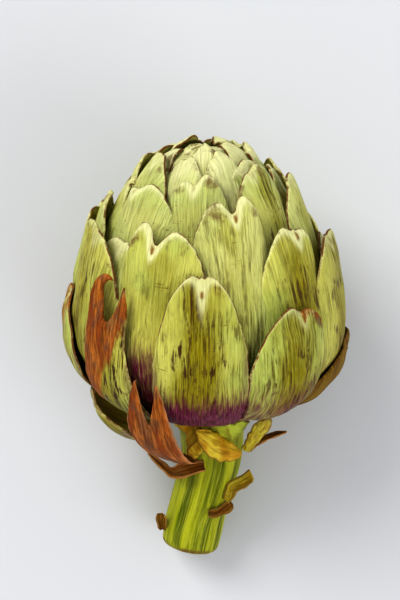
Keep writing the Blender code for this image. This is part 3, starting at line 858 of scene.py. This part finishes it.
def leaf_point(leaf, u, v, outer):
    """A point of a loose leaf: u runs across it, v from its root to its tip, all in mm."""
    t = (v + 1) / 2
    centre = curve_point(leaf.route, t)
    half_width = centre[3] * WIDTH_SCALE * (1 - (1 - leaf.blunt) * t ** 8)
    along = curve_direction(leaf.route, t)
    faces = Vector(leaf.root_faces).lerp(Vector(leaf.tip_faces), t)
    side = along.cross(faces).normalized()
    inward = side.cross(along)
    curl = math.radians(leaf.curl * CURL_SCALE)
    turn = u * curl
    bend = half_width / curl
    offset = side * bend * math.sin(turn) + inward * bend * (1 - math.cos(turn))
    outward = side * math.sin(turn) - inward * math.cos(turn)
    return centre.to_3d() + offset + outward * outer, half_width, t


def make_loose_leaf(name, leaf, seed):
    rng = np.random.default_rng(seed)
    bm = make_sheet(*LEAF_CELLS)
    square = square_of(bm)
    long = (Vector(leaf.route[0][:3]) - Vector(leaf.route[-1][:3])).length
    across, arc = square[:, 0] * 4, (square[:, 1] + 1) / 2 * long
    wrinkle = 0.35 * ripple(across * 2.2, arc, 6, rng) + 0.12 * ripple(across * 5, arc, 4, rng)
    torn = 1 + 0.12 * ripple(arc, arc * 0, 5, rng)
    places, widths = [], []
    for (u, v, z), lift, tear in zip(square, wrinkle, torn):
        place, width, t = leaf_point(leaf, u * tear, v, -z * LEAF_THICKNESS + lift)
        places.append(place * MM + BUD_BASE)
        widths.append(width)
    move_to(bm, places)
    edge = (1 - np.abs(square[:, 0])) * np.array(widths)
    masks = {"edge": edge, "green": np.full_like(edge, leaf.green),
             "tone": np.full_like(edge, leaf.dark)}
    store(bm, masks, np.column_stack((across, arc)) / 10 + rng.uniform(0, 50, 2))
    return finish_piece("loose_" + name, bm, name, leaf.slot)


for index, (name, leaf) in enumerate(LOOSE_LEAVES.items()):
    make_loose_leaf(name, leaf, 700 + index)
print("pieces so far:", len(PIECES))

# %% [markdown]
# ## A short way to wire shader nodes
#
# A finish is a tree of nodes. Adding a node and wiring it takes several lines each time, so a few
# small helpers do that. One adds any node and fills its inputs with values or links. The others
# blend two colours by a mask, turn a range of values into a soft mask, calculate with masks, and
# break a mask up with noise. A socket knows its own tree, so most of them need no tree.

# %% Helpers for nodes
def add(tree, kind, inputs=(), **settings):
    node = tree.nodes.new(kind)
    for setting, value in settings.items():
        setattr(node, setting, value)
    for socket, value in dict(inputs).items():
        if isinstance(value, bpy.types.NodeSocket):
            tree.links.new(value, node.inputs[socket])
        else:
            node.inputs[socket].default_value = value
    return node


def blend(mask, first, second):
    """The first colour where the mask is 0 and the second where it is 1."""
    node = add(mask.id_data, "ShaderNodeMix", {0: mask, 6: first, 7: second}, data_type="RGBA")
    return node.outputs[2]


def soft_mask(value, low, high):
    return add(value.id_data, "ShaderNodeMapRange", {0: value, 1: low, 2: high},
               interpolation_type="SMOOTHSTEP").outputs[0]


def calculate(operation, first, second):
    return add(first.id_data, "ShaderNodeMath", {0: first, 1: second},
               operation=operation).outputs[0]


def times(first, second):
    return calculate("MULTIPLY", first, second)


def plus(first, second):
    return calculate("ADD", first, second)


def broken(mask, noise, strength, middle=0.5):
    """The mask, made stronger where the noise is above its middle and weaker below it."""
    return plus(mask, times(calculate("SUBTRACT", noise, middle), strength))


def point_mask(tree, name):
    return add(tree, "ShaderNodeAttribute", attribute_name=name).outputs["Fac"]


def cloud_noise(tree, scale, detail, roughness):
    place = add(tree, "ShaderNodeTexCoord").outputs["Object"]
    return add(tree, "ShaderNodeTexNoise", {"Vector": place, "Scale": scale, "Detail": detail,
                                            "Roughness": roughness}).outputs[0]


print("helpers ready")

# %% [markdown]
# ## Fibres, shared by every finish
#
# Plant skin has fibres that run along the leaf, and stains that follow them. Both are one noise,
# stretched along the leaf by scaling its two directions differently. As a group with inputs, it
# is built once and used in every finish with other values.

# %% The fibre group
GROUP_INPUTS = {"Grain": "NodeSocketVector", "Across": "NodeSocketFloat",
                "Along": "NodeSocketFloat", "Low": "NodeSocketFloat", "High": "NodeSocketFloat"}


def make_fibre_group():
    group = bpy.data.node_groups.new("fibres", "ShaderNodeTree")
    for name, kind in GROUP_INPUTS.items():
        group.interface.new_socket(name=name, in_out="INPUT", socket_type=kind)
    group.interface.new_socket(name="Mask", in_out="OUTPUT", socket_type="NodeSocketFloat")
    source = group.nodes.new("NodeGroupInput").outputs
    result = group.nodes.new("NodeGroupOutput").inputs
    scale = add(group, "ShaderNodeCombineXYZ", {0: source["Across"], 1: source["Along"], 2: 1})
    place = add(group, "ShaderNodeVectorMath", {0: source["Grain"], 1: scale.outputs[0]},
                operation="MULTIPLY")
    noise = add(group, "ShaderNodeTexNoise",
                {"Vector": place.outputs[0], "Scale": 1, "Detail": 4, "Roughness": 0.62,
                 "Distortion": 0.3}, noise_dimensions="2D")
    group.links.new(soft_mask(noise.outputs[0], source["Low"], source["High"]), result["Mask"])
    return group


FIBRES = make_fibre_group()


def fibres(tree, across, along, low=0.4, high=0.6):
    """A stretched noise: features per centimetre across and along the leaf."""
    grain = add(tree, "ShaderNodeUVMap", uv_map="grain").outputs[0]
    node = add(tree, "ShaderNodeGroup", node_tree=FIBRES)
    for socket, value in zip(("Across", "Along", "Low", "High"), (across, along, low, high)):
        node.inputs[socket].default_value = value
    tree.links.new(grain, node.inputs["Grain"])
    return node.outputs["Mask"]


print("shared groups:", [group.name for group in bpy.data.node_groups])

# %% [markdown]
# ## Colours and materials
#
# The colours are given as a screen shows them and turned into linear values for the shader. Every
# finish starts from the same matt material. Skin that looks smooth still has fine relief, which a
# bump brings without more geometry.

# %% A colour, a material, its relief and its dried colour
def color(red, green, blue):
    """A colour from its values as a screen shows them, 0 to 255."""
    def linear(value):
        value /= 255
        return value / 12.92 if value <= 0.04045 else ((value + 0.055) / 1.055) ** 2.4
    return linear(red), linear(green), linear(blue), 1


DEAD_EDGE = color(120, 78, 44)
LOW_GLOSS = 0.16


def new_material(name, roughness):
    material = bpy.data.materials.new(name)
    material.use_nodes = True
    shader = material.node_tree.nodes["Principled BSDF"]
    shader.inputs["Roughness"].default_value = roughness
    shader.inputs["Specular IOR Level"].default_value = LOW_GLOSS
    return material, material.node_tree, shader


def cover(tree, shader, skin, height, distance):
    """Give the shader its colour, and a relief of this depth, in metres."""
    tree.links.new(skin, shader.inputs["Base Color"])
    bump = add(tree, "ShaderNodeBump", {"Height": height, "Distance": distance, "Strength": 1})
    tree.links.new(bump.outputs[0], shader.inputs["Normal"])


def dried_color(tree):
    """Papery brown with paler, greyer and darker fibres."""
    brown = blend(fibres(tree, 2.5, 0.5, 0.35, 0.62), color(160, 84, 26), color(208, 132, 54))
    brown = blend(times(fibres(tree, 1.6, 1.1, 0.48, 0.62), 0.6), brown, color(136, 100, 74))
    return blend(times(fibres(tree, 14, 1.2, 0.35, 0.68), 0.75), brown, color(92, 48, 20))


print("the brown of a dead edge:", [round(value, 3) for value in DEAD_EDGE])

# %% [markdown]
# ## The skin of the green bracts
#
# The skin is built up in the order in which it ages. First comes a light green with fresher
# patches, a deep green and fine pale fibres. Olive streaks, brown streaks and scuffs lie over it,
# most of all in the middle of the bract. The lower margins turn a greyish brown, partly the real
# colour of old bracts and partly painted shade where they lie on the bracts beneath. A pale band
# along the edge is partly the real pale rim and partly a painted highlight. The tips bleach to
# cream, the lobes get brown smudges, and the rim dries to a thin brown line. Low on the bud the
# skin is purple, and an old bract dries to an orange brown. The hidden inner side is the colour
# of straw, and the thorn a dull orange. Masks on the mesh say where, and noise breaks them up.

# %% Green skin
GREEN_ROUGHNESS = 0.38


def growing_skin(tree, fine, light, fresh, deep):
    """The young skin: two light greens, a deep one, and pale fibres."""
    light = blend(soft_mask(cloud_noise(tree, 28, 2, 0.5), 0.4, 0.62), light, fresh)
    deepness = plus(point_mask(tree, "tone"), times(fibres(tree, 0.9, 0.35, 0.25, 0.75), 0.4))
    green = blend(soft_mask(deepness, 0.15, 1.15), light, deep)
    return blend(times(fine, 0.24), green, color(214, 212, 100))


def streaked_skin(tree, skin, patches):
    """Olive streaks in patches, dark ones in spots, and scuffs across them."""
    stain = point_mask(tree, "stain")
    olive = times(times(fibres(tree, 12, 0.6, 0.44, 0.62), patches), stain)
    skin = blend(olive, skin, color(100, 84, 10))
    spots = fibres(tree, 1.2, 0.6, 0.5, 0.62)
    dark = times(times(fibres(tree, 7, 0.8, 0.47, 0.6), spots), stain)
    skin = blend(dark, skin, color(82, 56, 18))
    scuffs = times(fibres(tree, 1.1, 14, 0.62, 0.7), fibres(tree, 0.7, 0.7, 0.6, 0.66))
    return blend(times(scuffs, 0.7), skin, color(112, 76, 30))


def weathered_edges(tree, skin, clouds):
    """Greyish-brown margins, partly real and partly painted shade, a pale edge, partly real and
    partly a painted highlight, the cream of the tip, its smudges and its dead rim.
    """
    edge, grit = point_mask(tree, "edge"), cloud_noise(tree, 240, 3, 0.6)
    ragged = soft_mask(fibres(tree, 2.2, 0.6, 0.3, 0.6), 0.1, 0.9)
    # Painted shade: lower margins, partly real browning and partly painted shade between bracts.
    skin = blend(times(point_mask(tree, "margin"), ragged), skin, color(134, 112, 84))
    # Painted highlight: a pale edge band, partly the real pale rim and partly a painted highlight.
    pale = times(soft_mask(edge, 1.1, 0.2), soft_mask(clouds, 0.2, 0.6))
    skin = blend(pale, skin, color(226, 222, 150))
    cream = soft_mask(broken(point_mask(tree, "cream"), clouds, 0.7), 0.1, 1)
    skin = blend(cream, skin, color(234, 233, 172))
    smudges = soft_mask(broken(point_mask(tree, "scorch"), grit, 2.4), 0.3, 1)
    skin = blend(times(smudges, 0.8), skin, color(122, 94, 54))
    crumbs = plus(times(clouds, grit), times(point_mask(tree, "brown_rim"), 0.25))
    rim = times(soft_mask(edge, 0.75, 0.2), soft_mask(crumbs, 0.32, 0.46))
    return blend(rim, skin, DEAD_EDGE)


def make_green_skin(name, light, fresh, deep):
    material, tree, shader = new_material(name, GREEN_ROUGHNESS)
    clouds = cloud_noise(tree, 55, 3, 0.55)
    fine = fibres(tree, 24, 2.4, 0.42, 0.72)
    patches = fibres(tree, 1.1, 0.4, 0.36, 0.6)
    skin = growing_skin(tree, fine, light, fresh, deep)
    skin = streaked_skin(tree, skin, patches)
    skin = weathered_edges(tree, skin, clouds)
    purple = broken(point_mask(tree, "purple"), fibres(tree, 14, 1.5, 0.2, 0.8), 0.5)
    skin = blend(soft_mask(purple, 0.1, 1), skin,
                 blend(fine, color(92, 10, 46), color(150, 62, 100)))
    dry = soft_mask(broken(point_mask(tree, "dry"), plus(patches, fine), 0.3, middle=1), 0.4, 0.8)
    skin = blend(dry, skin, dried_color(tree))
    inside = blend(fibres(tree, 0.9, 0.35, 0.25, 0.75), color(164, 146, 66), color(124, 88, 40))
    skin = blend(times(point_mask(tree, "inside"), 0.6), skin, inside)
    skin = blend(point_mask(tree, "thorn"), skin, color(140, 92, 14))
    roughness = plus(plus(times(clouds, 0.2), times(dry, 0.25)), GREEN_ROUGHNESS - 0.1)
    tree.links.new(roughness, shader.inputs["Roughness"])
    height = plus(fibres(tree, 11, 0.45, 0.2, 0.8), times(clouds, 0.8))
    cover(tree, shader, skin, height, 0.5 * MM)
    return material


MATERIALS = {
    "outer_bract": make_green_skin("green_bract_skin", color(217, 215, 116),
                                   color(195, 207, 114), color(150, 138, 2)),
    "inner_bract": make_green_skin("pale_bract_skin", color(223, 223, 144),
                                   color(208, 217, 138), color(172, 170, 34)),
}
print("green skins have", len(MATERIALS["outer_bract"].node_tree.nodes), "nodes each")

# %% [markdown]
# ## The stem, the dried leaves and the neck leaves
#
# The stem is a fresher yellow-green: its ribs are pale and the grooves between them deep green.
# It is paler at the neck, and the cut shows a pale pith with a brown rim where it has dried. The
# dried leaves are papery and matt, with pinkish edges, and some are olive. Those at the neck are
# half-way there, yellow with brown edges.

# %% Stem, dried leaf and neck leaf
def make_stem_skin():
    material, tree, shader = new_material("stem_skin", 0.45)
    clouds = cloud_noise(tree, 90, 4, 0.6)
    rib = broken(point_mask(tree, "rib"), fibres(tree, 3.5, 0.25, 0.3, 0.7), 0.9)
    skin = blend(soft_mask(rib, -1.3, 1.1), color(88, 102, 0), color(180, 184, 34))
    fine = fibres(tree, 20, 0.8, 0.4, 0.7)
    skin = blend(times(fine, 0.4), skin, color(204, 204, 88))
    dark = fibres(tree, 9, 0.3, 0.56, 0.68)
    skin = blend(times(dark, 0.5), skin, color(70, 80, 0))
    neck = blend(fine, color(176, 184, 52), color(206, 206, 110))
    skin = blend(times(point_mask(tree, "neck"), 0.85), skin, neck)
    pith = blend(soft_mask(clouds, 0.35, 0.65), color(206, 202, 150), color(170, 164, 104))
    skin = blend(point_mask(tree, "cut"), skin, pith)
    rim = times(point_mask(tree, "rim"), soft_mask(clouds, 0.3, 0.6))
    skin = blend(rim, skin, color(120, 84, 48))
    cover(tree, shader, skin, plus(fibres(tree, 12, 0.5, 0.2, 0.8), clouds), 0.3 * MM)
    return material


def make_dry_skin():
    material, tree, shader = new_material("dried_leaf_skin", 0.62)
    worn = soft_mask(point_mask(tree, "edge"), 0.7, 0.1)
    skin = blend(times(worn, 0.5), dried_color(tree), color(212, 158, 112))
    olive = blend(fibres(tree, 5, 0.5, 0.35, 0.65), color(144, 117, 30), color(112, 80, 22))
    skin = blend(times(point_mask(tree, "tone"), 0.8), skin, olive)
    cover(tree, shader, skin, fibres(tree, 10, 0.8, 0.2, 0.8), 0.5 * MM)
    return material


def make_neck_skin():
    material, tree, shader = new_material("neck_leaf_skin", 0.5)
    broad = fibres(tree, 1.5, 0.6, 0.35, 0.65)
    skin = blend(broad, color(236, 212, 76), color(210, 160, 40))
    skin = blend(point_mask(tree, "green"), skin, color(186, 198, 76))
    skin = blend(times(fibres(tree, 9, 0.8, 0.5, 0.68), 0.45), skin, color(120, 80, 22))
    worn = soft_mask(point_mask(tree, "edge"), 0.9, 0.1)
    skin = blend(times(worn, 0.7), skin, DEAD_EDGE)
    cover(tree, shader, skin, fibres(tree, 9, 0.8, 0.2, 0.8), 0.4 * MM)
    return material


MATERIALS["stem"] = make_stem_skin()
MATERIALS["dried_leaf"] = make_dry_skin()
MATERIALS["neck_leaf"] = make_neck_skin()
print("finishes:", sorted(MATERIALS))

# %% [markdown]
# ## Put everything together
#
# Every piece gets its finish, moves with the one body of the model and stands for its simple
# twin, which is hidden. The box of each piece is compared with its twin's, to see that nothing
# has grown out of place.

# %% Finish, ride and replace
distances = []
for piece, node, slot in PIECES:
    piece.data.materials.append(MATERIALS[slot])
    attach(piece, "root")
    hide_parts(node)
    places = np.array([vert.co for vert in piece.data.vertices])
    low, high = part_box(node)
    off = max(np.abs(places.min(0) - low).max(), np.abs(places.max(0) - high).max()) / MM
    distances.append((round(float(off), 1), node))
triangles = sum(len(poly.vertices) - 2 for piece, _, _ in PIECES for poly in piece.data.polygons)
print("triangles:", triangles)
print("furthest from their twins, in mm:", sorted(distances)[-6:])

# %% [markdown]
# ## The table
#
# A wide plane under the artichoke, pale and matt.

# %% Table
TABLE_HALF_WIDTH = 2


def make_table():
    bm = bmesh.new()
    bmesh.ops.create_grid(bm, x_segments=1, y_segments=1, size=TABLE_HALF_WIDTH)
    mesh = bpy.data.meshes.new("table")
    bm.to_mesh(mesh)
    bm.free()
    material, tree, shader = new_material("pale_table", 0.7)
    shader.inputs["Base Color"].default_value = color(208, 209, 212)
    mesh.materials.append(material)
    table = bpy.data.objects.new("table", mesh)
    bpy.context.scene.collection.objects.link(table)
    return table


table = make_table()
print("table:", table.name)
